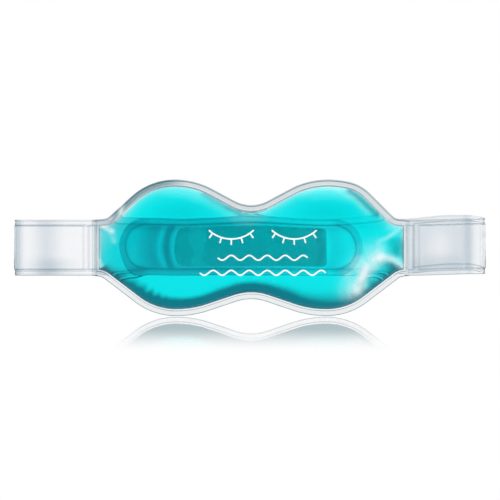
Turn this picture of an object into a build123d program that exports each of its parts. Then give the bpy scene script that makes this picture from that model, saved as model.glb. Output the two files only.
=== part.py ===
"""A clear-film gel cooling eye mask with two welded film straps.

Frame: +X to the right seen from the front, +Y towards the wearer's face and the straps, +Z up.
The origin is the centre of the mask's face side at the nose bridge. Sizes are in millimetres.
"""

import os

from build123d import *

# Films and welds
FILM = 0.4
WELD_RIM = 4.0
PILLOW_RISE = 0.3
RIM_LAP = 0.4

# Mask: corners of the outline's right half from the nose bridge to the strap, as (x, z, rounding)
MASK_HALF_WIDTH = 107.0
TOP_CORNERS = [(0, 25.8, 23.4), (38.0, 46.0, 52.0), (68.0, 46.0, 43.0), (96.8, 19.7, 14.0)]
BOTTOM_CORNERS = [(0, -32.5, 32.0), (38.8, -45.6, 70.0), (65.8, -45.6, 45.0), (100.2, -19.4, 18.0)]
MASK_WELD = 4.5
GEL_BACK_DEPTH = 4.0
GEL_FRONT_DEPTH = 6.4
DOME_SLOPE = 32.0

# Printed ornament on the front film
PRINT_DEPTH = 0.1
PRINT_LINE = 1.0
PRINT_CENTRE_X = 7.7
EYE_SPACING = 42.0
EYE_HALF_WIDTH = 15.0
EYE_Z = 12.0
EYE_SAG = 6.0
LASH_LENGTH = 4.0
LASHES = 5
WAVE_RISE = 1.6
WAVE_HALF_PERIOD = 6.0
UPPER_WAVE_Z = -6.5
UPPER_WAVE_ARCS = 10
LOWER_WAVE_Z = -16.5
LOWER_WAVE_ARCS = 14

# Straps
STRAP_WIDTH = 37.5
STRAP_Z = 0.3
TAB_START = 103.3
TAB_END = 108.0
WELD_HINGE_X = 108.2
NEAR_START = 108.4
NEAR_LENGTH = 44.5
LEFT_FOLD_RADIUS = 4.1
FOLD_CLEARANCE = 0.3
LEFT_TIP_X = 74.8
RIGHT_TIP_X = -85.6
PEEL_HINGE_X = 80.0
PEEL_GAP = 0.3

# Hook-and-loop pads
PAD_THICKNESS = 0.9
PAD_GAP = 0.15
PAD_WIDTH = 26.0
PAD_CORNER = 3.0
LOOP_PAD_X = (-52.0, 51.0)
HOOK_PAD_X = (-48.0, 22.0)

# Planes across the thickness
WELD_Y = -(GEL_BACK_DEPTH + FILM)
FRONT_Y = WELD_Y - GEL_FRONT_DEPTH - FILM
PILLOW = PILLOW_RISE + FILM
NEAR_Y = WELD_Y + 2 * FILM
FOLD_X = WELD_HINGE_X + NEAR_LENGTH
FOLD_STEP = 2 * PILLOW + FOLD_CLEARANCE
LEFT_FAR_Y = NEAR_Y + 2 * LEFT_FOLD_RADIUS + FOLD_STEP
RIGHT_FAR_Y = LEFT_FAR_Y + 2 * PILLOW + 2 * PAD_THICKNESS + PAD_GAP
RIGHT_FOLD_RADIUS = (RIGHT_FAR_Y - NEAR_Y - FOLD_STEP) / 2

FRONT_SIDE = -1
BACK_SIDE = 1


def slab(face, y_from, y_to):
    """The solid that a flat XZ outline sweeps between two planes across the thickness."""
    low, high = min(y_from, y_to), max(y_from, y_to)
    return extrude(Plane.XZ.offset(-high) * face, amount=high - low)


def mask_outline():
    top_end = (MASK_HALF_WIDTH, STRAP_Z + STRAP_WIDTH / 2, 0)
    bottom_end = (MASK_HALF_WIDTH, STRAP_Z - STRAP_WIDTH / 2, 0)
    right = TOP_CORNERS + [top_end, bottom_end] + BOTTOM_CORNERS[::-1]
    left = [(-x, z, rounding) for x, z, rounding in right[-2:0:-1]]
    corners = right + left
    points = [(x, z) for x, z, rounding in corners]
    return make_face(FilletPolyline(*points, radius=[corner[2] for corner in corners], close=True))


def domes(outline, grow):
    """The pouch's front and back halves about the weld plane, sloping in from the weld on both sides.

    They are the gel itself with no growth, and the pouch's outside when grown by the film's thickness.
    """
    base = Plane.XZ.offset(-WELD_Y) * offset(outline, amount=grow - MASK_WELD)
    front = extrude(base, amount=GEL_FRONT_DEPTH + grow, taper=DOME_SLOPE)
    back = extrude(base, amount=-GEL_BACK_DEPTH - grow, taper=DOME_SLOPE)
    return front, back


def closed_eye(centre_x):
    """A drooping lid line with lashes fanning out below it."""
    half = EYE_HALF_WIDTH
    lid = ThreePointArc((centre_x - half, EYE_Z), (centre_x, EYE_Z - EYE_SAG), (centre_x + half, EYE_Z))
    drawn = trace(lid, PRINT_LINE)
    for i in range(LASHES):
        at = (i + 0.5) / LASHES
        root = lid @ at
        along = lid % at
        tip = root + Vector(along.Y, -along.X) * LASH_LENGTH
        drawn += trace(Line(root, tip), PRINT_LINE)
    return drawn


def wave(z, arcs):
    """A level wavy line of alternating arcs, centred under the eyes."""
    start = PRINT_CENTRE_X - arcs * WAVE_HALF_PERIOD / 2
    drawn = Sketch()
    for i in range(arcs):
        x = start + i * WAVE_HALF_PERIOD
        rise = WAVE_RISE if i % 2 else -WAVE_RISE
        arc = ThreePointArc((x, z), (x + WAVE_HALF_PERIOD / 2, z + rise), (x + WAVE_HALF_PERIOD, z))
        drawn += trace(arc, PRINT_LINE)
    return drawn


def ornament():
    eyes = closed_eye(PRINT_CENTRE_X - EYE_SPACING / 2) + closed_eye(PRINT_CENTRE_X + EYE_SPACING / 2)
    return eyes + wave(UPPER_WAVE_Z, UPPER_WAVE_ARCS) + wave(LOWER_WAVE_Z, LOWER_WAVE_ARCS)


def band(x_from, x_to, margin=0.0):
    """A strap run's rectangle, pulled in at both long edges by margin."""
    centre = (x_from + x_to) / 2
    return Pos(centre, STRAP_Z) * Rectangle(abs(x_to - x_from), STRAP_WIDTH - 2 * margin)


def tongue(x_root, x_tip, margin=0.0):
    """A strap run that ends in a half round, pulled in all round except at its root."""
    radius = STRAP_WIDTH / 2 - margin
    towards_tip = 1 if x_tip > x_root else -1
    round_x = x_tip - towards_tip * STRAP_WIDTH / 2
    return band(x_root, round_x, margin) + Pos(round_x, STRAP_Z) * Circle(radius)


def strap_film(outline, pillow, raised, weld_y, side):
    """One film of a strap: flat where it is welded, raised where the two films stand apart."""
    flat = slab(outline - pillow, weld_y, weld_y + side * FILM)
    risen = slab(raised, weld_y + side * PILLOW_RISE, weld_y + side * PILLOW)
    return flat + risen


def near_film(hand, side):
    """The run from the mask's weld to the fold. hand is -1 on the left and 1 on the right."""
    start, end = hand * NEAR_START, hand * FOLD_X
    pillow_start = start + hand * WELD_RIM
    outline = band(start, end)
    pillow = band(pillow_start, end, WELD_RIM)
    raised = band(pillow_start - hand * RIM_LAP, end, WELD_RIM - RIM_LAP)
    return strap_film(outline, pillow, raised, NEAR_Y, side)


def far_film(x_root, x_tip, weld_y, side, rounded):
    """The run from the fold, or from the peel line, to its far end."""
    shape = tongue if rounded else band
    outline = shape(x_root, x_tip)
    pillow = shape(x_root, x_tip, WELD_RIM)
    raised = shape(x_root, x_tip, WELD_RIM - RIM_LAP)
    return strap_film(outline, pillow, raised, weld_y, side)


def fold_film(hand, radius, side):
    """The half turn between near and far runs. side -1 is the outside of the turn, 1 the inside."""
    centre = Vector(hand * FOLD_X, NEAR_Y + radius, 0)
    section = Plane(origin=centre, x_dir=(0, -1, 0), z_dir=(-1, 0, 0))
    flat_middle = radius - side * FILM / 2
    risen_middle = radius - side * (PILLOW_RISE + FILM / 2)
    rim_middle = (STRAP_WIDTH - WELD_RIM) / 2
    raised_width = STRAP_WIDTH - 2 * (WELD_RIM - RIM_LAP)
    profile = Pos(risen_middle, STRAP_Z) * Rectangle(FILM, raised_width)
    for edge in (-1, 1):
        profile += Pos(flat_middle, STRAP_Z + edge * rim_middle) * Rectangle(FILM, WELD_RIM)
    axis = Axis(centre, (0, 0, hand))
    return revolve(section * profile, axis, 180)


def pad(x_range, y_from, y_to):
    x_from, x_to = x_range
    outline = RectangleRounded(x_to - x_from, PAD_WIDTH, PAD_CORNER)
    return slab(Pos((x_from + x_to) / 2, STRAP_Z) * outline, y_from, y_to)


def weld_tab(hand):
    """The strap's two film ends, fused into one tab on the back of the mask's side flange."""
    return slab(band(hand * TAB_START, hand * TAB_END), WELD_Y + FILM, WELD_Y + 3 * FILM)


def mask_nodes():
    outline = mask_outline()
    gel_front, gel_back = domes(outline, 0.0)
    pouch_front, pouch_back = domes(outline, FILM)
    flange = outline - offset(outline, amount=FILM / 2 - MASK_WELD)
    printed = slab(ornament(), FRONT_Y, FRONT_Y + PRINT_DEPTH)
    return {
        "gel_fill": gel_front + gel_back,
        "front_film": pouch_front - gel_front + slab(flange, WELD_Y - FILM, WELD_Y) - printed,
        "back_film": pouch_back - gel_back + slab(flange, WELD_Y, WELD_Y + FILM),
        "front_print": printed,
        "left_strap_tab": weld_tab(-1),
        "right_strap_tab": weld_tab(1),
    }


def strap_nodes():
    nodes = {}
    for name, side in (("outer", FRONT_SIDE), ("inner", BACK_SIDE)):
        nodes[f"left_near_{name}_film"] = near_film(-1, side)
        nodes[f"right_near_{name}_film"] = near_film(1, side)
        nodes[f"left_fold_{name}_film"] = fold_film(-1, LEFT_FOLD_RADIUS, side)
        nodes[f"right_fold_{name}_film"] = fold_film(1, RIGHT_FOLD_RADIUS, side)
        # Past the fold the outer film faces away from the wearer's face
        peel_left = PEEL_HINGE_X - PEEL_GAP
        peel_right = PEEL_HINGE_X + PEEL_GAP
        nodes[f"left_far_{name}_film"] = far_film(-FOLD_X, LEFT_TIP_X, LEFT_FAR_Y, -side, True)
        nodes[f"right_far_{name}_film"] = far_film(FOLD_X, peel_right, RIGHT_FAR_Y, -side, False)
        nodes[f"right_tail_{name}_film"] = far_film(peel_left, RIGHT_TIP_X, RIGHT_FAR_Y, -side, True)
    loop_y = LEFT_FAR_Y + PILLOW
    hook_y = RIGHT_FAR_Y - PILLOW
    nodes["loop_pad"] = pad(LOOP_PAD_X, loop_y, loop_y + PAD_THICKNESS)
    nodes["hook_pad"] = pad(HOOK_PAD_X, hook_y - PAD_THICKNESS, hook_y)
    return nodes


os.makedirs("parts", exist_ok=True)
for node, solid in {**mask_nodes(), **strap_nodes()}.items():
    solid.label = node
    export_step(solid, f"parts/{node}.step")
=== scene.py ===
import math
from types import SimpleNamespace

import bmesh
import bpy
import numpy as np
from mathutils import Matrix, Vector, noise
from mathutils.kdtree import KDTree

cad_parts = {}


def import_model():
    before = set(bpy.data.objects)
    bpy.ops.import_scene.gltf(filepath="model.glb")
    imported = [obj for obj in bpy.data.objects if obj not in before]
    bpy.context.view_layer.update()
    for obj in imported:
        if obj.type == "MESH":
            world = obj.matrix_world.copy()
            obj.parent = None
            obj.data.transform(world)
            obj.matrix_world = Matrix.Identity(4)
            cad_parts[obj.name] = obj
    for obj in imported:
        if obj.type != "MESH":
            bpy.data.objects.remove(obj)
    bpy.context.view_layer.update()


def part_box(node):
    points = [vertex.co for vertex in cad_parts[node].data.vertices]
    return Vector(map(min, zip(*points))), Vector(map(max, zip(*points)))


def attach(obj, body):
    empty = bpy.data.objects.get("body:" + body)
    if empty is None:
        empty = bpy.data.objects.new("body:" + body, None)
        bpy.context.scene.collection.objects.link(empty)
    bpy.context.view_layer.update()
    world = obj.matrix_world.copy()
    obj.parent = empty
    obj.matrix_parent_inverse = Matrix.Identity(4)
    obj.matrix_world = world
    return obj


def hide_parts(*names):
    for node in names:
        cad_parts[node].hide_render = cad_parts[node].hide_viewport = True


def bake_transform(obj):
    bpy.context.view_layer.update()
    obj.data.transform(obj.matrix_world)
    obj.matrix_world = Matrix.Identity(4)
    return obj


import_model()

# Lengths below are in millimetres in the frame's axes, and become metres where a mesh is made
MM = 0.001


def plane_of(node, corner, axis):
    """One face of a CAD node's box, in millimetres. corner 0 is the low one and 1 the high one."""
    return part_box(node)[corner][axis] / MM


# The film's thickness, and half of the slit between two films where they are welded
FILM = 0.4
SLIT = 0.02

# Planes from the frame: Y is across the thickness, X along the width and Z up
WELD_Y = plane_of("front_film", 1, 1)
NEAR_Y = plane_of("left_near_outer_film", 1, 1)
LEFT_FAR_Y = plane_of("left_far_inner_film", 1, 1)
RIGHT_FAR_Y = plane_of("right_far_inner_film", 1, 1)
MASK_HALF_WIDTH = plane_of("front_film", 1, 0)
MASK_BOTTOM = plane_of("front_film", 0, 2)
FOLD_X = plane_of("right_near_outer_film", 1, 0)
TAB_START = plane_of("right_strap_tab", 0, 0)
NEAR_START = plane_of("right_near_outer_film", 0, 0)
LEFT_TIP_X = plane_of("left_far_outer_film", 1, 0)
RIGHT_TIP_X = plane_of("right_tail_outer_film", 0, 0)
PEEL_X = (plane_of("right_far_outer_film", 0, 0) + plane_of("right_tail_outer_film", 1, 0)) / 2
STRAP_LOW = plane_of("left_near_outer_film", 0, 2)
STRAP_HIGH = plane_of("left_near_outer_film", 1, 2)
STRAP_Z = (STRAP_LOW + STRAP_HIGH) / 2
STRAP_HALF = (STRAP_HIGH - STRAP_LOW) / 2

# Which way each side of the pouch faces along the Y axis
FRONT = -1
BACK = 1

# The mask's outline: corners of its right half from the nose bridge out, as (x, z, rounding)
TOP_CORNERS = [(0, 25.8, 23.4), (38.0, 46.0, 52.0), (68.0, 46.0, 43.0), (96.8, 19.7, 7.0)]
BOTTOM_CORNERS = [(0, -32.5, 32.0), (38.8, -45.6, 70.0), (65.8, -45.6, 45.0), (100.2, -19.4, 7.0)]
SHOULDER_OUT = 1.7
WELD = 4.5


# ---------------------------------------------------------------- outline and distances

def smooth(low, high, value):
    """0 at low and 1 at high, with a soft start and end."""
    t = np.clip((value - low) / (high - low), 0, 1)
    return t * t * (3 - 2 * t)


def hump(value, middle, width):
    """1 in the middle, and fading to 0 over about twice the width on both sides."""
    return np.exp(-((value - middle) / width) ** 2)


def rounded_line(corners, end, step=0.5):
    """A symmetric open line through rounded corners, from the mask's left end to its right end."""
    right = [*corners, end]
    whole = [(-x, z, r) for x, z, r in right[:0:-1]] + right
    line = [np.array(whole[0][:2], float)]
    for before, corner, after in zip(whole, whole[1:], whole[2:]):
        p = np.array(corner[:2], float)
        a = np.array(before[:2], float) - p
        b = np.array(after[:2], float) - p
        a /= np.linalg.norm(a)
        b /= np.linalg.norm(b)
        half = math.acos(float(np.clip(a @ b, -1, 1))) / 2
        middle = (a + b) / np.linalg.norm(a + b)
        centre = p + middle * corner[2] / math.sin(half)
        start = p + a * corner[2] / math.tan(half) - centre
        finish = p + b * corner[2] / math.tan(half) - centre
        turn = math.atan2(start[0] * finish[1] - start[1] * finish[0], start @ finish)
        for t in np.linspace(0, 1, max(3, int(abs(turn) * corner[2] / step))):
            c, s = math.cos(turn * t), math.sin(turn * t)
            line.append(centre + [c * start[0] - s * start[1], s * start[0] + c * start[1]])
    line.append(np.array(whole[-1][:2], float))
    return np.array(line)


TOP_LINE = rounded_line(TOP_CORNERS, (MASK_HALF_WIDTH, STRAP_HIGH, 0))
# The top right shoulder stands out a little more than the left one
TOP_LINE[:, 1] += SHOULDER_OUT * hump(TOP_LINE[:, 0], 75, 12)
BOTTOM_LINE = rounded_line(BOTTOM_CORNERS, (MASK_HALF_WIDTH, STRAP_LOW, 0))


def lengths_along(line):
    """The arc length from a line's first point to each of its points."""
    return np.concatenate([[0], np.cumsum(np.linalg.norm(np.diff(line, axis=0), axis=1))])


def height_on(line, x):
    return np.interp(x, line[:, 0], line[:, 1])


def nearest_to(line, spacing=0.25):
    """A search tree over points along a line, with their arc lengths from its left end."""
    lengths = lengths_along(line)
    arcs = np.arange(0, lengths[-1] + spacing, spacing)
    tree = KDTree(len(arcs))
    for i, arc in enumerate(arcs):
        tree.insert((np.interp(arc, lengths, line[:, 0]), np.interp(arc, lengths, line[:, 1]), 0), i)
    tree.balance()
    return tree, arcs


TOP_TREE, TOP_ARCS = nearest_to(TOP_LINE)
BOTTOM_TREE, BOTTOM_ARCS = nearest_to(BOTTOM_LINE)


def line_distance(x, z, tree, arcs):
    """Distance from points to a line, and the arc length of the nearest place on it."""
    found = [tree.find((a, b, 0)) for a, b in zip(np.ravel(x), np.ravel(z))]
    near = np.array([distance for _place, _index, distance in found])
    arc = np.array([arcs[index] for _place, index, _distance in found])
    return near.reshape(np.shape(x)), arc.reshape(np.shape(x))


def edge_distances(x, z):
    """Distances to the whole outline, its top line and its bottom line, and the arc along the bottom."""
    top, _arc = line_distance(x, z, TOP_TREE, TOP_ARCS)
    bottom, arc = line_distance(x, z, BOTTOM_TREE, BOTTOM_ARCS)
    nearest = np.minimum(np.minimum(top, bottom), MASK_HALF_WIDTH - np.abs(x))
    return nearest, top, bottom, arc


def ripple(x, z, size, seed):
    """Smooth noise from -1 to 1 over the mask's plane."""
    flat = zip(np.ravel(x), np.ravel(z))
    values = [noise.noise(Vector((a / size, b / size, seed))) for a, b in flat]
    return np.array(values).reshape(np.shape(x))


def along_path(x, z, path):
    """Distance from points to a line of straight runs."""
    best = np.full(np.shape(x), 1e9)
    for (ax, az), (bx, bz) in zip(path, path[1:]):
        length = (bx - ax) ** 2 + (bz - az) ** 2
        t = np.clip(((x - ax) * (bx - ax) + (z - az) * (bz - az)) / length, 0, 1)
        best = np.minimum(best, np.hypot(x - ax - t * (bx - ax), z - az - t * (bz - az)))
    return best


# ---------------------------------------------------------------- the pouch's shape

HEIGHTS = {FRONT: 6.8, BACK: 4.2}
# How far in from the weld the pouch reaches its height, along its top and along its bottom
TOP_RISE = 26
BOTTOM_RISE = 21
# Puckers that run in from the weld: spacing along it, height as a share of the pouch's, and reach
PUCKER_SPACING = 7.4
PUCKER_HEIGHT = 0.020
PUCKER_REACH = 10
# Lines where the pouch is creased: points, half width, and depth in front and behind.
# Where the depth is below 0, the line is a ridge
RIDGE = [(99.0, -9.5), (89.0, -6.5), (82.0, -9.0), (76.0, -15.0), (72.0, -23.0), (70.0, -31.0)]
CREASES = [
    ([(86.0, -14.0), (78.0, -22.0), (72.0, -34.0)], 17.0, 0.22, 0.22),
    (RIDGE, 4.0, -0.16, 0.0),
    ([(84.0, 1.0), (102.0, 12.0)], 2.6, 0.16, 0.10),
    ([(-103.5, 13.5), (-92.7, 6.4)], 3.2, 0.14, 0.10),
]
# Lines where shade is painted on the front film, beside the top weld and by the right tab: points, half width
# and how dark
PAINTED_SHADE_LINES = [
    ([(-31.0, 36.6), (-25.0, 32.6), (-16.0, 27.6), (-8.0, 24.2)], 2.7, 0.66),
    ([(-16.0, 27.0), (-8.0, 23.2), (0.0, 21.6), (7.0, 21.8)], 1.7, 0.25),
    ([(66.0, 38.2), (71.0, 34.8), (75.8, 30.6), (80.3, 26.2), (84.5, 22.4)], 2.3, 1.0),
    ([(101.6, 12.0), (102.6, -10.0)], 1.5, 0.40),
    ([(102.0, 1.0), (97.0, -2.0), (103.0, -6.0)], 2.6, 0.26),
]
# Lines where a white highlight is painted on the front film, along its creases and top edges: points, half
# width and how white
PAINTED_HIGHLIGHTS = [
    ([(100.8, -11.0), (94.5, -7.6), (88.5, -6.0), (82.5, -8.4)], 2.2, 0.40),
    ([(84.5, -7.6), (78.0, -12.5), (73.8, -20.5), (71.0, -28.5)], 3.6, 0.38),
    ([(84.0, -3.0), (76.0, -8.0), (70.5, -17.0), (66.0, -28.0)], 6.0, 0.14),
    ([(84.0, 3.5), (92.0, 7.5), (101.0, 13.6)], 1.3, 0.10),
    ([(-102.4, 16.6), (-93.6, 11.0)], 1.6, 0.20),
    ([(-93.6, 11.0), (-92.2, 5.0)], 1.8, 0.12),
    ([(-102.6, -8.0), (-101.0, -11.5)], 1.4, 0.22),
    ([(62.0, 38.0), (70.0, 34.0), (78.0, 26.0)], 2.6, 0.10),
    ([(30.0, 37.5), (46.0, 41.0), (60.0, 40.0)], 2.2, 0.08),
]


def rise_from_weld(x, d, low, left_end):
    """The pouch's section, from 0 at the weld to 1, steeper and blunter where low is 1."""
    steep = np.clip(hump(x, -38, 36) + 0.75 * hump(x, 6, 32) + 0.2 * hump(x, 58, 30), 0, 1)
    bottom_rise = BOTTOM_RISE - 9.0 * steep - 8.0 * left_end + 5.0 * hump(x, 50, 18)
    t = np.clip((d - WELD) / ((1 - low) * TOP_RISE + low * bottom_rise), 0, 1)
    power = 0.68 - 0.10 * low
    blunt = 0.05 + 0.15 * low
    lowest, highest = blunt ** power, (1 + blunt) ** power
    return ((1 - (1 - t) ** 2.2 + blunt) ** power - lowest) / (highest - lowest)


def puckers(x, z, d, low, arc):
    """Puckers that run in from the weld, strongest low on both sides."""
    zone = 0.2 + 2.0 * low * hump(x, -61, 13) + 0.9 * low * hump(x, 74, 12)
    wave = np.sin(arc / PUCKER_SPACING * 2 * math.pi + 1.6 * ripple(x, z, 24, 7.7))
    inside = np.clip(d - WELD, 0, None)
    return PUCKER_HEIGHT * zone * wave * np.exp(-inside / PUCKER_REACH) * np.clip(inside / 4, 0, 1)


def dome(x, z, side):
    """How full the pouch is at each point, from 0 at the weld to about 1 in the middle of a lobe.

    The gel sags, so the pouch is fuller and steeper along its bottom weld than along its top.
    """
    d, top, bottom, arc = edge_distances(x, z)
    low = smooth(-16, 16, top - bottom)
    left_end = smooth(-70, -96, x)
    full = rise_from_weld(x, d, low, left_end)
    full *= 1 - 0.42 * left_end
    sag = smooth(-50, 34, top - bottom) * smooth(-104, -60, x) * (0.45 + 0.55 * smooth(50, 10, x))
    full *= 0.86 + 0.46 * sag
    # shallower in the middle, between the lobes, and a little uneven everywhere
    full *= 1 - 0.12 * hump(x, 0, 26)
    full *= 1 + 0.05 * ripple(x, z, 30, 3.1) + 0.02 * ripple(x, z, 13, 9.4)
    full += puckers(x, z, d, low, arc)
    for line, width, front_depth, back_depth in CREASES:
        depth = front_depth if side == FRONT else back_depth
        full *= 1 - depth * hump(along_path(x, z, line), 0, width)
    return np.clip(full, 0, None), d


def skin_height(x, z, side):
    """How far the gel's skin stands from the weld's plane, and the distance to the outline."""
    full, d = dome(x, z, side)
    return HEIGHTS[side] * full, d


# ---------------------------------------------------------------- meshes

def smooth_shaded(piece):
    for polygon in piece.data.polygons:
        polygon.use_smooth = True
    return piece


def make_object(name, points, faces):
    """A mesh object from points in millimetres."""
    mesh = bpy.data.meshes.new(name)
    mesh.from_pydata((np.asarray(points, float) * MM).tolist(), [], faces)
    mesh.validate()
    mesh.update()
    piece = bpy.data.objects.new(name, mesh)
    bpy.context.scene.collection.objects.link(piece)
    return smooth_shaded(piece)


def grid_faces(rows, columns, start=0, flip=False):
    """Four-sided faces over a grid of points whose first one has the index start."""
    faces = []
    for i in range(rows - 1):
        for j in range(columns - 1):
            a = start + i * columns + j
            quad = (a, a + 1, a + columns + 1, a + columns)
            faces.append(quad[::-1] if flip else quad)
    return faces


def applied(piece, kind, **settings):
    """The piece with one modifier made real."""
    modifier = piece.modifiers.new(kind, kind)
    for key, value in settings.items():
        setattr(modifier, key, value)
    depsgraph = bpy.context.evaluated_depsgraph_get()
    mesh = bpy.data.meshes.new_from_object(piece.evaluated_get(depsgraph))
    piece.modifiers.clear()
    old = piece.data
    piece.data = mesh
    bpy.data.meshes.remove(old)
    mesh.name = piece.name
    return piece


def thickened(piece, thickness):
    return smooth_shaded(applied(piece, "SOLIDIFY", thickness=thickness * MM, offset=0, use_rim=True))


def merged(piece, gap):
    """The piece with points that are closer than gap made one."""
    return applied(piece, "WELD", merge_threshold=gap * MM)


def outward(piece):
    """Turns every face of the piece to look out of it."""
    shape = bmesh.new()
    shape.from_mesh(piece.data)
    bmesh.ops.recalc_face_normals(shape, faces=shape.faces)
    shape.to_mesh(piece.data)
    shape.free()
    return smooth_shaded(piece)


# Points closer together than this are made one
FILM_MERGE = 0.004
GEL_MERGE = 0.02
# The rows and columns of a grid's four edges
ALL = slice(None)
EDGES = {"start": (0, ALL), "end": (-1, ALL), "low": (ALL, 0), "high": (ALL, -1)}


def film_solid(name, patches, painted_shades):
    """A film with thickness from patches of (one surface, the other surface, edges that are closed).

    The last argument holds one grid of values a patch for how much shade is painted into the film's tint at
    each point.
    """
    points, faces, shades = [], [], []
    for (upper, lower, closed), painted_shade in zip(patches, painted_shades):
        rows, columns = upper.shape[:2]
        start = sum(len(p) for p in points)
        ids = start + np.arange(rows * columns).reshape(rows, columns)
        under = ids + rows * columns
        faces += grid_faces(rows, columns, start)
        faces += grid_faces(rows, columns, start + rows * columns, flip=True)
        for edge in closed:
            a, b = ids[EDGES[edge]].tolist(), under[EDGES[edge]].tolist()
            faces += [(a[i], a[i + 1], b[i + 1], b[i]) for i in range(len(a) - 1)]
        points += [upper.reshape(-1, 3), lower.reshape(-1, 3)]
        shades += [np.ravel(painted_shade), np.ravel(painted_shade)]
    piece = make_object(name, np.vstack(points), faces)
    layer = piece.data.attributes.new("painted_shade", "FLOAT", "POINT")
    layer.data.foreach_set("value", np.concatenate(shades))
    return outward(merged(piece, FILM_MERGE))


# ---------------------------------------------------------------- pouch pieces

COLUMNS = 300
ROWS = 120
FLANGE_ROWS = 20
# How much closer together the rows are beside the welds than in the middle
CROWDING = 0.11
# Halving the way in from the outline this often finds the weld's inner edge
HALVINGS = 14
FURTHEST_WELD = 16.0
# The gel's ends stand this far inside the weld
END_INSET = 0.02
# The gel stands this far above the pouch's height, a little into the film, so that no air lies between
GEL_OVERLAP = 0.12
# How much shade is painted on the front film over the top of each lobe
LOBE_SHADE = 0.32


def columns_x(half_width):
    return np.linspace(-half_width, half_width, COLUMNS)


def rows_between(bottom, top):
    """Heights from the bottom line to the top line, closer together beside each."""
    share = np.linspace(0, 1, ROWS)
    share = share - CROWDING * np.sin(2 * math.pi * share)
    return bottom[None, :] + (top - bottom)[None, :] * share[:, None]


def weld_edge(x, start, direction):
    """Where each column crosses the inner edge of the weld, found by halving."""
    low = np.zeros_like(x)
    high = np.full_like(x, FURTHEST_WELD)
    for _ in range(HALVINGS):
        middle = (low + high) / 2
        d = edge_distances(x, start + direction * middle)[0]
        outside = d < WELD
        low = np.where(outside, middle, low)
        high = np.where(outside, high, middle)
    return start + direction * high


def gel_grid():
    """Points over the gel from weld to weld, as grids of x and z."""
    x = columns_x(MASK_HALF_WIDTH - WELD - END_INSET)
    top = weld_edge(x, height_on(TOP_LINE, x), -1)
    bottom = weld_edge(x, height_on(BOTTOM_LINE, x), 1)
    z = rows_between(bottom, top)
    return np.broadcast_to(x, z.shape), z


GEL_GRID = gel_grid()


def weld_ridge(d):
    """The heat-seal bar's marks in the flange: a bead at its outer edge and a ridge beside the gel."""
    return 0.20 * hump(d, 3.75, 0.32) + 0.20 * hump(d, 0.55, 0.38)


def flange_wave(x, z, d):
    """The flange is a little wavy between its outer edge and the gel."""
    return 0.45 * ripple(x, z, 22, 15.0) * (1 - smooth(2.0, 4.3, d)) * smooth(101, 88, np.abs(x))


def flange_painted_shade(x, z, d):
    """Shade painted into the pouch film's tint: a little over the whole flange, more towards its top and most
    over the top left lobe, a painted shadow on the film beside the right tab, and fine dark lines at the
    outer edge.
    """
    flange = 1 - smooth(3.2, 4.2, d)
    over_left = smooth(-97, -90, x) * smooth(-40, -62, x) * smooth(6, 14, z)
    gap = 1 - hump(x, -87.5, 2.2)
    shaded = 0.08 + 0.14 * smooth(10, 26, z) + 0.55 * over_left * gap
    # painted shadow beside the right tab
    painted_tab_shadow = smooth(88, 97, x) * smooth(9, 4, np.abs(z)) * smooth(WELD, WELD + 2, d)
    # fine lines of painted shade at the outer edge
    edge = 0.55 * hump(d, 0.0, 0.35) * smooth(105, 101, np.abs(x))
    return np.clip(flange * shaded + edge + 0.35 * painted_tab_shadow, 0, 1)


def film_surfaces(x, z, side):
    """Both surfaces of the pouch's film, and how much shade is painted into its tint."""
    height, d = skin_height(x, z, side)
    under = WELD_Y + flange_wave(x, z, d) + side * (SLIT + height)
    over = under + side * (FILM + weld_ridge(d))
    return [np.stack([x, y, z], 2) for y in (over, under)], flange_painted_shade(x, z, d)


def add_painted_highlight(piece):
    """Marks where a white highlight is painted on the film, along its creases and top edges."""
    points = np.empty(len(piece.data.vertices) * 3)
    piece.data.vertices.foreach_get("co", points)
    x, _y, z = points.reshape(-1, 3).T / MM
    painted_highlight = np.zeros(len(x))
    for line, width, white in PAINTED_HIGHLIGHTS:
        streak = hump(along_path(x, z, line), 0, width) * (1 + 0.9 * ripple(x, z, 6, 21.0))
        painted_highlight = 1 - (1 - painted_highlight) * (1 - np.clip(white * streak, 0, 1))
    layer = piece.data.attributes.new("painted_highlight", "FLOAT", "POINT")
    layer.data.foreach_set("value", painted_highlight)
    return piece


def pouch_skin(name, side):
    """The film over the gel."""
    x, z = GEL_GRID
    sheets, painted_shade = film_surfaces(x, z, side)
    # The front film gets painted shade over the top of each lobe and along lines beside the top weld and by
    # the right tab
    if side == FRONT:
        painted_shade = painted_shade + LOBE_SHADE * (hump(x, -45, 24) + hump(x, 50, 24)) * hump(z, 24, 9)
        for line, width, dark in PAINTED_SHADE_LINES:
            painted_shade = painted_shade + dark * hump(along_path(x, z, line), 0, width)
    return film_solid(name, [(*sheets, ())], [painted_shade])


def pouch_flange(name, side):
    """The film's welded margin all round, from the outline in to the gel."""
    x, z = GEL_GRID
    outer_x = columns_x(MASK_HALF_WIDTH)
    outer_z = np.linspace(STRAP_LOW, STRAP_HIGH, ROWS)
    margins = [
        (outer_x, height_on(TOP_LINE, outer_x), x[-1], z[-1]),
        (outer_x, height_on(BOTTOM_LINE, outer_x), x[0], z[0]),
        (np.full(ROWS, -MASK_HALF_WIDTH), outer_z, x[:, 0], z[:, 0]),
        (np.full(ROWS, MASK_HALF_WIDTH), outer_z, x[:, -1], z[:, -1]),
    ]
    share = np.linspace(0, 1, FLANGE_ROWS)[:, None]
    patches, painted_shades = [], []
    for x_out, z_out, x_in, z_in in margins:
        sheets, painted_shade = film_surfaces(x_out + (x_in - x_out) * share, z_out + (z_in - z_out) * share, side)
        patches.append((*sheets, ("start",)))
        painted_shades.append(painted_shade)
    return film_solid(name, patches, painted_shades)


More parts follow.
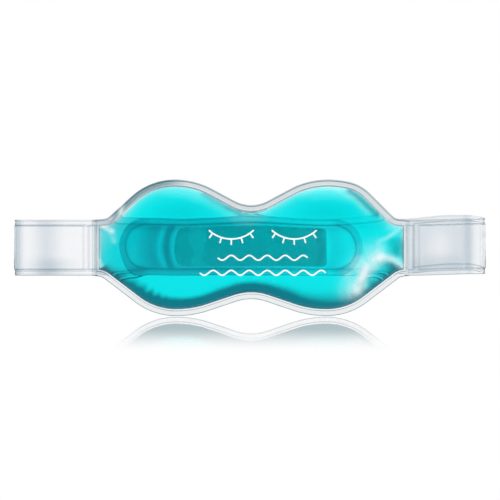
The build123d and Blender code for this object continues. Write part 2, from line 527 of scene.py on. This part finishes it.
def gel_body():
    """The gel, filling the pouch and closed at the welds' inner edge."""
    x, z = GEL_GRID
    front, d = skin_height(x, z, FRONT)
    back, _d = skin_height(x, z, BACK)
    wet = GEL_OVERLAP * smooth(WELD, WELD + 1.5, d)
    front_y = WELD_Y - np.clip(front + wet, 0, None)
    back_y = WELD_Y + np.clip(back + wet, 0, None)
    rim = np.zeros(x.shape, bool)
    rim[[0, -1], :] = True
    rim[:, [0, -1]] = True
    front_y[rim] = WELD_Y
    back_y[rim] = WELD_Y
    points = [np.stack([x, y, z], 2).reshape(-1, 3) for y in (front_y, back_y)]
    faces = grid_faces(ROWS, COLUMNS) + grid_faces(ROWS, COLUMNS, ROWS * COLUMNS, flip=True)
    return merged(make_object("gel_body", np.vstack(points), faces), GEL_MERGE)


# ---------------------------------------------------------------- straps

# The weld round a strap's edge, how far its two films part inside it, and their slit in it
RIM = 4.0
PILLOW = 0.45
STRAP_SLIT = 0.015
# Spacing of the mesh's rows along a strap, and how many rows go round its tip
STRAP_STEP = 1.1
FAN_STEPS = 44
# Painted shade round the end of each strap's pad: how far from the strap's round end it lies, how dark it is
# there, and how dark just past the pad's end
RIGHT_PAD_END_SHADE = (25.5, 0.45, 0.55)
LEFT_PAD_END_SHADE = (23.0, 0.18, 0.0)
# Where the visible folds stand beyond the CAD folds, on the left and on the right
LEFT_FOLD_OUT = 1.8
RIGHT_FOLD_OUT = -1.6
# The right strap's round end reaches this much further than its CAD solid
TIP_LONGER = 1.8
# How far the right strap rises to its fold, and how far its far run bulges up beyond it
FOLD_RISE = 1.0
FAR_BULGE = 2.6
# Past the weld hinge, the strap's first weld across it, where its root and its run meet
ROOT_WELD = 2.4
# Outside the peel line, the weld where the right strap's run and tail meet, and a second one before it
TAIL_SEAM = 24
SECOND_WELD = 4.5


def strap_path(hand, far_y, fold_out):
    """A point and a normal for each distance along a strap, from its weld tab round the fold.

    The normal points out of the fold, away from the inside of the strap's loop. The distances
    to the fold and round it come with it, and how far out the fold stands.
    """
    radius = (far_y - NEAR_Y) / 2
    straight = FOLD_X + fold_out - TAB_START
    arc = math.pi * radius

    def at(s):
        s = np.asarray(s, float)
        turn = np.clip((s - straight) / arc, 0, 1) * math.pi
        before = np.minimum(s, straight)
        after = np.clip(s - straight - arc, 0, None)
        x = hand * (TAB_START + before - after) + hand * radius * np.sin(turn)
        y = NEAR_Y + radius * (1 - np.cos(turn))
        normal = np.stack([hand * np.sin(turn), -np.cos(turn), np.zeros_like(turn)], -1)
        return np.stack([x, y, np.zeros_like(x)], -1), normal

    return at, straight, arc, FOLD_X + fold_out + radius


def no_lift(s):
    return np.zeros_like(s)


def right_lift(s_fold):
    """The right strap rises a little to its fold, and its far run stands higher still beyond it."""
    def lift(s):
        rise = FOLD_RISE * smooth(s_fold - 45, s_fold, s) * (1 - smooth(s_fold + 70, s_fold + 130, s))
        bulge_end = 1 - smooth(s_fold + 34, s_fold + 70, s)
        return rise + FAR_BULGE * smooth(s_fold + 8, s_fold + 24, s) * bulge_end
    return lift


def strap_painted_shade_bands(x, w, from_fold, hand):
    """Painted shade on the strap: bands across it by its fold with lighter gaps left for highlights, and
    darker low down.
    """
    if hand < 0:
        band = 0.55 * smooth(7, 0, from_fold) + 0.24 * hump(from_fold, 21, 8)
        low = 0.22 * hump(from_fold, 24, 14) * smooth(-4, -12, w)
    else:
        band = 0.20 * smooth(3.5, 1, from_fold) + 0.50 * hump(from_fold, 11, 3.4)
        highlight_gap = 0.6 * hump(from_fold, 30, 7) * hump(w, 0, 11)
        band = band + 0.26 * smooth(12, 18, from_fold) * (1 - highlight_gap)
        low = 0.14 * smooth(12, 18, from_fold) * smooth(-4, -12, w)
    return (band + low) * smooth(MASK_HALF_WIDTH - 2, MASK_HALF_WIDTH + 3, np.abs(x))


def strap_painted_shade(edge, from_tip, w, bulge):
    """Shade painted into the strap's tint: fine lines at its welds, darker arcs along its round end, and
    shade round the end of its pad with a lighter crescent left in it.
    """
    bright, shade, past = bulge
    lines = 0.40 * hump(edge, RIM, 0.45) + 0.40 * hump(edge, 0.0, 0.3)
    ring = (0.30 * hump(edge, 2.0, 1.8) + 0.25 * hump(edge, RIM + 0.3, 0.8)) * smooth(22, 14, from_tip)
    along = from_tip - 3.2 * (w / 13) ** 2
    dark = shade * smooth(8, bright - 4.5, along) * smooth(bright + 8.5, bright + 4.5, along)
    dark = dark * (1 - hump(along, bright, 2.3)) + past * hump(along, bright + 4.5, 1.9)
    inside = smooth(RIM - 0.6, RIM + 0.6, edge) * smooth(15.5, 12, np.abs(w))
    return np.clip(lines + ring + dark * inside, 0, 1)


def behind_mask_painted_shade(x, w):
    """Shade painted on the strap behind the mask, most on the left and in bands beside its long edges."""
    behind = smooth(MASK_HALF_WIDTH, MASK_HALF_WIDTH - 4, np.abs(x))
    to_left = smooth(60, -30, x)
    return behind * (0.25 * to_left + (0.07 + 0.07 * to_left) * hump(np.abs(w + 1.3), 14, 2.4))


def strap_grids(s_from, s_to, round_tip):
    """Grids of distances along the strap (s) and across it (w), with their closed edges."""
    middle = np.linspace(0, STRAP_HALF - RIM - 1.0, 14)
    rim = np.linspace(STRAP_HALF - RIM - 0.8, STRAP_HALF, 17)
    half = np.concatenate([middle, rim])
    w_values = np.concatenate([-half[:0:-1], half])
    s_values = np.linspace(s_from, s_to, max(3, int((s_to - s_from) / STRAP_STEP)))
    grids = [(*np.meshgrid(s_values, w_values, indexing="ij"), ("low", "high"))]
    if round_tip:
        angle, radius = np.meshgrid(np.linspace(0, math.pi, FAN_STEPS), half, indexing="ij")
        grids.append((s_to + radius * np.sin(angle), radius * np.cos(angle), ("high",)))
    return grids


def strap_film(name, strap, s_from, s_to, layer, welds, seed):
    """One film of a strap over a stretch of its path. layer is 1 outside and -1 inside.

    welds are distances along the path of welds across it. The stretch that reaches the strap's
    tip has a round end.
    """
    round_tip = s_to >= strap.tip
    s_straight = s_to - STRAP_HALF if round_tip else s_to
    patches, painted_shades = [], []
    for s, w, edges in strap_grids(s_from, s_straight, round_tip):
        edge = STRAP_HALF - np.abs(w)
        if round_tip:
            edge = np.where(s > s_straight, STRAP_HALF - np.hypot(s - s_straight, w), edge)
        for weld in welds:
            edge = np.minimum(edge, np.abs(s - weld) + RIM * 0.55)
        open_share = smooth(RIM - 0.35, RIM + 0.35, edge)
        puff = 0.25 * np.abs(ripple(s, w, 16, seed)) + 0.30 * np.abs(ripple(s, w, 42, seed + 5))
        ridge = 0.14 * hump(edge, RIM - 0.7, 0.28) + 0.14 * hump(edge, 0.5, 0.3)
        gap = STRAP_SLIT + open_share * (PILLOW + puff)
        centre, normal = strap.path(s)
        bend = 0.8 * ripple(s, w * 0.25, 34, seed // 10) * smooth(6, 24, s)
        sheets = []
        for out in (gap + FILM + ridge, gap):
            p = centre + normal * (layer * out + bend)[..., None]
            p[..., 2] = STRAP_Z + w + strap.lift(s)
            sheets.append(p)
        patches.append((*sheets, edges))
        x = centre[..., 0]
        # Painted shade: lines at the welds, arcs at the tip and round the pad's end, behind the mask, and on
        # the outer films bands by the fold
        painted_shade = strap_painted_shade(edge, strap.tip - s, w, strap.bulge) + behind_mask_painted_shade(x, w)
        if layer > 0:
            painted_shade = painted_shade + strap_painted_shade_bands(x, w, strap.fold_x - np.abs(x), strap.hand)
        painted_shades.append(np.clip(painted_shade, 0, 1))
    return film_solid(name, patches, painted_shades)


# ---------------------------------------------------------------- hook-and-loop pads

PAD_CORNER = 3.0
PAD_EDGE = 0.5
# Each pad is this much thinner than its CAD solid, on the side of its own strap
PAD_THINNER = 0.25
PAD_COLUMNS = 180
PAD_ROWS = 60


def quarter_round(distance, radius):
    """A rounded edge's height, from 0 at the edge to 1 at radius from it."""
    return np.sqrt(1 - (1 - np.clip(distance / radius, 0, 1)) ** 2)


def pad_piece(name, node, sag, mating, seed):
    """A tape pad with rounded corners, softly rolled edges and an uneven nap.

    Its left end bulges out by sag, and mating is the side that meets the other pad, -1 or 1.
    """
    low, high = (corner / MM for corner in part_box(node))
    half_w = (high.z - low.z) / 2
    y_from = low.y + (PAD_THINNER if mating > 0 else 0)
    y_to = high.y - (PAD_THINNER if mating < 0 else 0)
    # rows are closer together towards the pad's long edges
    across = half_w * np.sin(np.linspace(-math.pi / 2, math.pi / 2, PAD_ROWS))
    u, w = np.meshgrid(np.linspace(0, 1, PAD_COLUMNS), across, indexing="ij")
    past_corner = np.clip(np.abs(w) - half_w + PAD_CORNER, 0, None)
    corner = PAD_CORNER - np.sqrt(PAD_CORNER ** 2 - past_corner ** 2)
    left = low.x + corner + sag * (w / half_w) ** 2
    x = left + (high.x - corner - left) * u
    edge = np.minimum(np.minimum(x - left, high.x - corner - x), half_w - np.abs(w))
    roll = quarter_round(edge, PAD_EDGE)
    nap = 0.05 * ripple(x, w, 1.1, seed) + 0.06 * ripple(x, w, 9, seed)
    middle, thick = (y_from + y_to) / 2, (y_to - y_from) / 2
    sheets = []
    for side in (-1, 1):
        y = middle + side * thick * (0.25 + 0.75 * roll) + side * nap * roll
        sheets.append(np.stack([x, y, STRAP_Z + w], 2))
    return film_solid(name, [(*sheets, ("start", "end", "low", "high"))], [np.zeros(x.shape)])


# ---------------------------------------------------------------- printed ornament

PRINT_LINE = 1.0
PRINT_CENTRE_X = 7.7
EYE_SPACING = 42.0
EYE_HALF_WIDTH = 15.0
EYE_Z = 12.0
EYE_SAG = 6.0
LASH_LENGTH = 4.0
LASHES = 5
WAVE_RISE = 1.6
WAVE_HALF_PERIOD = 6.0
# Height and number of half periods of each wavy line
WAVES = [(-6.5, 10), (-16.5, 14)]
INK_THICKNESS = 0.06


def eye_lines(centre):
    """A drooping lid and its lashes, as lines of (x, z) points."""
    radius = (EYE_HALF_WIDTH ** 2 + EYE_SAG ** 2) / (2 * EYE_SAG)
    reach = math.asin(EYE_HALF_WIDTH / radius)
    top = EYE_Z - EYE_SAG + radius
    angles = np.linspace(-reach, reach, 60)
    lines = [np.stack([centre + radius * np.sin(angles), top - radius * np.cos(angles)], 1)]
    for i in range(LASHES):
        angle = -reach + 2 * reach * (i + 0.5) / LASHES
        out = np.array([math.sin(angle), -math.cos(angle)])
        root = np.array([centre, top]) + out * radius
        lines.append(root + np.linspace(0, LASH_LENGTH, 12)[:, None] * out)
    return lines


def wave_line(z, half_periods):
    span = half_periods * WAVE_HALF_PERIOD
    x = np.linspace(-span / 2, span / 2, 20 * half_periods)
    rise = WAVE_RISE * np.sin((x + span / 2) / WAVE_HALF_PERIOD * math.pi)
    return np.stack([PRINT_CENTRE_X + x, z - rise], 1)


def ornament():
    """Flat ribbons of ink that follow the front film."""
    lines = eye_lines(PRINT_CENTRE_X - EYE_SPACING / 2) + eye_lines(PRINT_CENTRE_X + EYE_SPACING / 2)
    lines += [wave_line(z, half_periods) for z, half_periods in WAVES]
    points, faces = [], []
    across = np.linspace(-0.5, 0.5, 5)
    for line in lines:
        along = np.gradient(line, axis=0)
        along /= np.linalg.norm(along, axis=1)[:, None]
        side = np.stack([-along[:, 1], along[:, 0]], 1)
        # round ends, which stop just short of a point
        length = lengths_along(line)
        to_end = np.minimum(length, length[-1] - length)
        width = PRINT_LINE * quarter_round(np.maximum(to_end, 0.06 * PRINT_LINE), PRINT_LINE / 2)
        flat = line[:, None, :] + side[:, None, :] * (across[None, :] * width[:, None])[..., None]
        height, _d = skin_height(flat[..., 0], flat[..., 1], FRONT)
        y = WELD_Y - (FILM + SLIT + height + INK_THICKNESS / 2)
        start = sum(len(p) for p in points)
        points.append(np.stack([flat[..., 0], y, flat[..., 1]], 2).reshape(-1, 3))
        faces += grid_faces(len(line), len(across), start)
    return thickened(make_object("printed_ornament", np.vstack(points), faces), INK_THICKNESS)


# ---------------------------------------------------------------- materials

def new_material(name):
    material = bpy.data.materials.new(name)
    material.use_nodes = True
    return material, material.node_tree, material.node_tree.nodes["Principled BSDF"]


def calculated(tree, kind, *values, clamp=True):
    """The output of a Math node over sockets and numbers, kept from 0 to 1 if it is clamped."""
    node = tree.nodes.new("ShaderNodeMath")
    node.operation = kind
    node.use_clamp = clamp
    for socket, value in zip(node.inputs, values):
        if isinstance(value, (int, float)):
            socket.default_value = value
        else:
            tree.links.new(value, socket)
    return node.outputs["Value"]


def remapped(tree, source, to_low, to_high, from_low=0.0, from_high=1.0, kind="LINEAR"):
    """The source moved from one range to another, and held at the range's ends."""
    node = tree.nodes.new("ShaderNodeMapRange")
    node.interpolation_type = kind
    limits = {"From Min": from_low, "From Max": from_high, "To Min": to_low, "To Max": to_high}
    for name, value in limits.items():
        node.inputs[name].default_value = value
    tree.links.new(source, node.inputs["Value"])
    return node.outputs["Result"]


def blended(tree, share, first, second):
    """The first colour where share is 0 and the second where it is 1. Colours are tuples or sockets."""
    node = tree.nodes.new("ShaderNodeMix")
    node.data_type = "RGBA"
    tree.links.new(share, node.inputs["Factor"])
    for name, value in (("A", first), ("B", second)):
        if isinstance(value, tuple):
            node.inputs[name].default_value = (*value, 1)
        else:
            tree.links.new(value, node.inputs[name])
    return node.outputs["Result"]


def point_value(tree, name):
    """The mesh's own value at each point."""
    node = tree.nodes.new("ShaderNodeAttribute")
    node.attribute_name = name
    return node.outputs["Fac"]


def pattern(tree, kind, output, **settings):
    """The output of a texture node that is fixed to the object."""
    node = tree.nodes.new(kind)
    for name, value in settings.items():
        node.inputs[name].default_value = value
    place = tree.nodes.new("ShaderNodeTexCoord")
    tree.links.new(place.outputs["Object"], node.inputs["Vector"])
    return node.outputs[output]


def noise_value(tree, scale, detail):
    return pattern(tree, "ShaderNodeTexNoise", "Fac", Scale=scale, Detail=detail)


def add_bump(tree, shader, source, strength, distance):
    bump = tree.nodes.new("ShaderNodeBump")
    bump.inputs["Strength"].default_value = strength
    bump.inputs["Distance"].default_value = distance
    tree.links.new(source, bump.inputs["Height"])
    tree.links.new(bump.outputs["Normal"], shader.inputs["Normal"])


def clear_film(name, colour, dark, roughness, ior):
    """Glossy PVC film: a slight cool tint, turning towards the dark colour where shade is painted into it,
    and an uneven polish.
    """
    material, tree, shader = new_material(name)
    tree.links.new(blended(tree, point_value(tree, "painted_shade"), colour, dark), shader.inputs["Base Color"])
    shader.inputs["Transmission Weight"].default_value = 1.0
    shader.inputs["IOR"].default_value = ior
    polish = remapped(tree, noise_value(tree, 60, 3), roughness * 0.4, roughness * 1.6)
    tree.links.new(polish, shader.inputs["Roughness"])
    add_bump(tree, shader, noise_value(tree, 900, 2), 0.04, 0.0003)
    return material


def whiten_painted_highlight(material):
    """Lets the film turn a little white where a highlight is painted on it."""
    tree = material.node_tree
    shader = tree.nodes["Principled BSDF"]
    tree.links.new(remapped(tree, point_value(tree, "painted_highlight"), 1.0, 0.0), shader.inputs["Transmission Weight"])
    return material


def gel_material():
    """Clear turquoise gel that darkens with its depth, with a faint painted glow."""
    material, tree, shader = new_material("turquoise_gel")
    shader.inputs["Base Color"].default_value = (1, 1, 1, 1)
    shader.inputs["Transmission Weight"].default_value = 1.0
    shader.inputs["IOR"].default_value = 1.36
    shader.inputs["Roughness"].default_value = 0.0
    add_bump(tree, shader, noise_value(tree, 70, 2), 0.12, 0.0008)
    depth = tree.nodes.new("ShaderNodeVolumeAbsorption")
    depth.inputs["Color"].default_value = (0.0, 0.988, 0.990, 1)
    depth.inputs["Density"].default_value = 760.0
    # A painted glow: the gel gives off a little turquoise light of its own, so that a long way through it is
    # deep turquoise and not black
    painted_glow = tree.nodes.new("ShaderNodeEmission")
    painted_glow.inputs["Color"].default_value = (0.0, 0.80, 1.0, 1)
    painted_glow.inputs["Strength"].default_value = 2.0
    both = tree.nodes.new("ShaderNodeAddShader")
    tree.links.new(depth.outputs["Volume"], both.inputs[0])
    tree.links.new(painted_glow.outputs["Emission"], both.inputs[1])
    output = tree.nodes["Material Output"]
    tree.links.new(both.outputs["Shader"], output.inputs["Volume"])
    return material


def ink_material():
    """White ink with a slightly patchy cover."""
    material, tree, shader = new_material("white_ink")
    patch = noise_value(tree, 500, 4)
    colour = blended(tree, patch, (0.88, 0.93, 0.94), (0.97, 0.99, 0.99))
    tree.links.new(colour, shader.inputs["Base Color"])
    tree.links.new(remapped(tree, patch, 0.35, 0.6), shader.inputs["Roughness"])
    add_bump(tree, shader, patch, 0.15, 0.00005)
    return material


def tape_material(name, colour, scale):
    """Hook-and-loop tape: a knitted ground under a fine fuzz."""
    material, tree, shader = new_material(name)
    weave = pattern(tree, "ShaderNodeTexVoronoi", "Distance", Scale=scale)
    ground = tuple(c * 0.72 for c in colour)
    tree.links.new(blended(tree, weave, colour, ground), shader.inputs["Base Color"])
    shader.inputs["Roughness"].default_value = 0.85
    shader.inputs["Sheen Weight"].default_value = 0.3
    add_bump(tree, shader, weave, 0.6, 0.0003)
    return material


# ---------------------------------------------------------------- build

# The colour that the pouch's films turn to where shade is painted into them
PAINTED_SHADE_TINT = (0.36, 0.52, 0.56)
FLANGE_FILM = clear_film("flange_film", (0.975, 0.985, 0.99), PAINTED_SHADE_TINT, 0.03, 1.42)
# Over the gel the film is wet on its inner side, so it hardly bends light by itself
WET_LOOK = {"colour": (0.93, 0.94, 0.947), "dark": PAINTED_SHADE_TINT, "roughness": 0.02, "ior": 1.08}
WET_FILM = clear_film("wet_film", **WET_LOOK)
# The front film over the gel, turned white where a highlight is painted on it
HIGHLIGHTED_FILM = whiten_painted_highlight(clear_film("painted_highlight_film", **WET_LOOK))
# A strap's film turns grey blue where shade is painted into it
STRAP_FILM = clear_film("strap_film", (0.982, 0.985, 0.99), (0.50, 0.60, 0.66), 0.05, 1.30)
GEL = gel_material()
INK = ink_material()
LOOP_TAPE = tape_material("loop_tape", (0.90, 0.91, 0.92), 1400)
HOOK_TAPE = tape_material("hook_tape", (0.87, 0.88, 0.89), 900)


def dress(piece, material, slot):
    """Gives the piece its material. Only the tapes, in the fastener_tape slot, throw a shadow."""
    piece.data.materials.clear()
    piece.data.materials.append(material)
    if slot != "fastener_tape":
        piece.visible_shadow = False
    return piece


pouch = [
    (add_painted_highlight(pouch_skin("front_film_skin", FRONT)), HIGHLIGHTED_FILM, "clear_film", "front_film"),
    (pouch_flange("front_film_flange", FRONT), FLANGE_FILM, "clear_film", "front_film"),
    (pouch_skin("back_film_skin", BACK), WET_FILM, "clear_film", "back_film"),
    (pouch_flange("back_film_flange", BACK), FLANGE_FILM, "clear_film", "back_film"),
    (gel_body(), GEL, "gel", "gel_fill"),
    (ornament(), INK, "print_ink", "front_print"),
]
for piece, material, slot, node in pouch:
    dress(piece, material, slot)
    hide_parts(node)
    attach(piece, "mask")


def build_strap(side, hand, far_y, tip_x, fold_out, bulge, seed):
    """A strap's two films, each as a root on the mask, a run round the fold and, on the right, a tail."""
    path, straight, arc, fold_x = strap_path(hand, far_y, fold_out)
    seam = NEAR_START - TAB_START + ROOT_WELD
    # where the far run crosses the object's middle
    middle = straight + arc + FOLD_X + fold_out
    tip = middle - hand * tip_x + (TIP_LONGER if hand > 0 else 0)
    tail_seam = middle - (PEEL_X + TAIL_SEAM)
    far_welds = [tail_seam, tail_seam - SECOND_WELD] if hand > 0 else []
    lift = right_lift(straight) if hand > 0 else no_lift
    strap = SimpleNamespace(path=path, tip=tip, fold_x=fold_x, hand=hand, lift=lift, bulge=bulge)
    for layer, word in ((1, "outer"), (-1, "inner")):
        number = seed + (0 if layer > 0 else 3)
        root = strap_film(f"{side}_{word}_root", strap, 0, seam, layer, [0, seam], number)
        dress(root, STRAP_FILM, "clear_film")
        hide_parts(f"{side}_strap_tab")
        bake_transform(root)
        end = tip if hand < 0 else tail_seam
        run = strap_film(f"{side}_{word}_run", strap, seam, end, layer, [seam, *far_welds], number)
        dress(run, STRAP_FILM, "clear_film")
        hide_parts(*(f"{side}_{stretch}_{word}_film" for stretch in ("near", "fold", "far")))
        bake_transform(run)
        if hand > 0:
            tail = strap_film(f"{side}_{word}_tail", strap, tail_seam, tip, layer, far_welds, number)
            dress(tail, STRAP_FILM, "clear_film")
            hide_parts(f"{side}_tail_{word}_film")
            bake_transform(tail)


build_strap("left", -1, LEFT_FAR_Y, LEFT_TIP_X, LEFT_FOLD_OUT, LEFT_PAD_END_SHADE, 11.0)
build_strap("right", 1, RIGHT_FAR_Y, RIGHT_TIP_X, RIGHT_FOLD_OUT, RIGHT_PAD_END_SHADE, 51.0)

loop = pad_piece("loop_tape_pad", "loop_pad", sag=3.0, mating=1, seed=2.0)
hook = pad_piece("hook_tape_pad", "hook_pad", sag=1.5, mating=-1, seed=9.0)
dress(loop, LOOP_TAPE, "fastener_tape")
dress(hook, HOOK_TAPE, "fastener_tape")
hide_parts("loop_pad")
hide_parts("hook_pad")
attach(loop, "left_far_strap")
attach(hook, "right_strap_tail")


# ---------------------------------------------------------------- floor, light and camera

# How strongly the floor mirrors, and the distances in metres where that starts and stops fading
REFLECTION = 0.78
REFLECTION_NEAR = 0.14
REFLECTION_FAR = 0.335
# Half the floor's width in metres, and its gap below the mask in millimetres
FLOOR_SIZE = 6.0
FLOOR_GAP = 0.3


def mirrored_share(tree, path):
    """1 for a ray that was mirrored by a surface or inside its film, and 0 for one that went through."""
    in_film = calculated(tree, "LESS_THAN", path.outputs["Transmission Depth"], 2.5)
    glossy = calculated(tree, "GREATER_THAN", path.outputs["Glossy Depth"], 0.5)
    back_out = calculated(tree, "MULTIPLY", in_film, glossy)
    outside = calculated(tree, "SUBTRACT", path.outputs["Is Glossy Ray"], path.outputs["Is Transmission Ray"])
    return calculated(tree, "MAXIMUM", back_out, outside)


def floor_material():
    """White acrylic that mirrors what stands on it, less and less away from it."""
    material = bpy.data.materials.new("white_acrylic")
    material.use_nodes = True
    tree = material.node_tree
    tree.nodes.clear()
    place = tree.nodes.new("ShaderNodeTexCoord")
    split = tree.nodes.new("ShaderNodeSeparateXYZ")
    tree.links.new(place.outputs["Object"], split.inputs["Vector"])
    away = calculated(tree, "ABSOLUTE", split.outputs["Y"])
    share = remapped(tree, away, 0.0, REFLECTION, REFLECTION_FAR, REFLECTION_NEAR, "SMOOTHSTEP")
    path = tree.nodes.new("ShaderNodeLightPath")
    glance = tree.nodes.new("ShaderNodeFresnel")
    glance.inputs["IOR"].default_value = 1.45
    for factor in (glance.outputs["Fac"], path.outputs["Is Camera Ray"]):
        share = calculated(tree, "MULTIPLY", share, factor)
    # The floor looks white, and shows only dimly as a highlight on the films
    glow = tree.nodes.new("ShaderNodeEmission")
    tree.links.new(remapped(tree, mirrored_share(tree, path), 1.0, 0.2), glow.inputs["Strength"])
    gloss = tree.nodes.new("ShaderNodeBsdfGlossy")
    gloss.inputs["Color"].default_value = (1, 1, 1, 1)
    gloss.inputs["Roughness"].default_value = 0.02
    mix = tree.nodes.new("ShaderNodeMixShader")
    output = tree.nodes.new("ShaderNodeOutputMaterial")
    tree.links.new(share, mix.inputs["Fac"])
    tree.links.new(glow.outputs["Emission"], mix.inputs[1])
    tree.links.new(gloss.outputs["BSDF"], mix.inputs[2])
    tree.links.new(mix.outputs["Shader"], output.inputs["Surface"])
    return material


def floor():
    """A wide plane just below the mask."""
    z = (MASK_BOTTOM - FLOOR_GAP) * MM
    corners = [(x * FLOOR_SIZE, y * FLOOR_SIZE, z) for x, y in ((-1, -1), (1, -1), (1, 1), (-1, 1))]
    mesh = bpy.data.meshes.new("floor")
    mesh.from_pydata(corners, [], [(0, 1, 2, 3)])
    mesh.materials.append(floor_material())
    piece = bpy.data.objects.new("floor", mesh)
    bpy.context.scene.collection.objects.link(piece)


# Soft lamps that show as highlights: direction from the object, half angle in degrees, brightness
SOFT_LAMPS = [
    ((0.15, -0.50, 0.85), 34, 3.2),
    ((-0.95, -0.25, 0.25), 20, 3.0),
    ((0.95, -0.25, 0.25), 20, 3.0),
]
# The heights, as sines of the angle above level, between which the backdrop turns dim
HORIZON = (0.05, 0.27)
WHITE = (1, 1, 1)
DIM_SKY = (0.19, 0.225, 0.28)


def world():
    """A white backdrop all round up to a low height, dimmer blue-grey above it, and soft lamps."""
    sky = bpy.data.worlds.new("studio")
    bpy.context.scene.world = sky
    sky.use_nodes = True
    tree = sky.node_tree
    tree.nodes.clear()
    place = tree.nodes.new("ShaderNodeTexCoord")
    direction = place.outputs["Generated"]
    split = tree.nodes.new("ShaderNodeSeparateXYZ")
    tree.links.new(direction, split.inputs["Vector"])

    above = remapped(tree, split.outputs["Z"], 0.0, 1.0, *HORIZON, "SMOOTHSTEP")
    through = blended(tree, above, WHITE, DIM_SKY)
    # what is mirrored is brightest low down behind the object, apart from the lamps
    behind = remapped(tree, split.outputs["Y"], 0.2, 1.0, 0.0, 0.25, "SMOOTHSTEP")
    low = remapped(tree, split.outputs["Z"], 1.0, 0.4, *HORIZON, "SMOOTHSTEP")
    mirrored = calculated(tree, "MULTIPLY", behind, low)
    for aim, half_angle, brightness in SOFT_LAMPS:
        dot = tree.nodes.new("ShaderNodeVectorMath")
        dot.operation = "DOT_PRODUCT"
        dot.inputs[1].default_value = Vector(aim).normalized()
        tree.links.new(direction, dot.inputs[0])
        spread = math.cos(math.radians(half_angle))
        lamp = remapped(tree, dot.outputs["Value"], 0.0, brightness, spread, 1.0, "SMOOTHSTEP")
        mirrored = calculated(tree, "ADD", mirrored, lamp, clamp=False)
    path = tree.nodes.new("ShaderNodeLightPath")
    light = blended(tree, path.outputs["Is Transmission Ray"], WHITE, through)
    light = blended(tree, mirrored_share(tree, path), light, mirrored)
    light = blended(tree, path.outputs["Is Camera Ray"], light, WHITE)
    background = tree.nodes.new("ShaderNodeBackground")
    tree.links.new(light, background.inputs["Color"])
    output = tree.nodes.new("ShaderNodeOutputWorld")
    tree.links.new(background.outputs["Background"], output.inputs["Surface"])


def area_light(name, place, size, power):
    """A lamp that looks at the object and lights it without showing in it."""
    lamp = bpy.data.lights.new(name, "AREA")
    lamp.shape = "RECTANGLE"
    lamp.size, lamp.size_y = size
    lamp.energy = power
    piece = bpy.data.objects.new(name, lamp)
    bpy.context.scene.collection.objects.link(piece)
    piece.location = place
    piece.rotation_euler = (-Vector(place)).to_track_quat("-Z", "Y").to_euler()
    piece.visible_camera = False
    piece.visible_glossy = False
    piece.visible_transmission = False


# What the camera looks at, and how wide the picture is there, in metres
AIM = (-0.0008, -0.006, -0.0013)
PICTURE_WIDTH = 0.3355


def camera():
    """Level with the object, straight at the mask's front."""
    lens = bpy.data.cameras.new("camera")
    lens.lens = 100
    lens.sensor_width = 36
    piece = bpy.data.objects.new("camera", lens)
    bpy.context.scene.collection.objects.link(piece)
    distance = PICTURE_WIDTH * lens.lens / lens.sensor_width
    piece.location = (AIM[0], AIM[1] - distance, AIM[2])
    piece.rotation_euler = (math.pi / 2, 0, 0)
    lens.clip_start = 0.01
    lens.clip_end = 50
    bpy.context.scene.camera = piece


floor()
world()
area_light("top", (0, -0.4, 1.1), (1.2, 1.2), 6)
camera()

scene = bpy.context.scene
scene.view_settings.view_transform = "Standard"
scene.cycles.max_bounces = 40
scene.cycles.transmission_bounces = 40
scene.cycles.transparent_max_bounces = 24
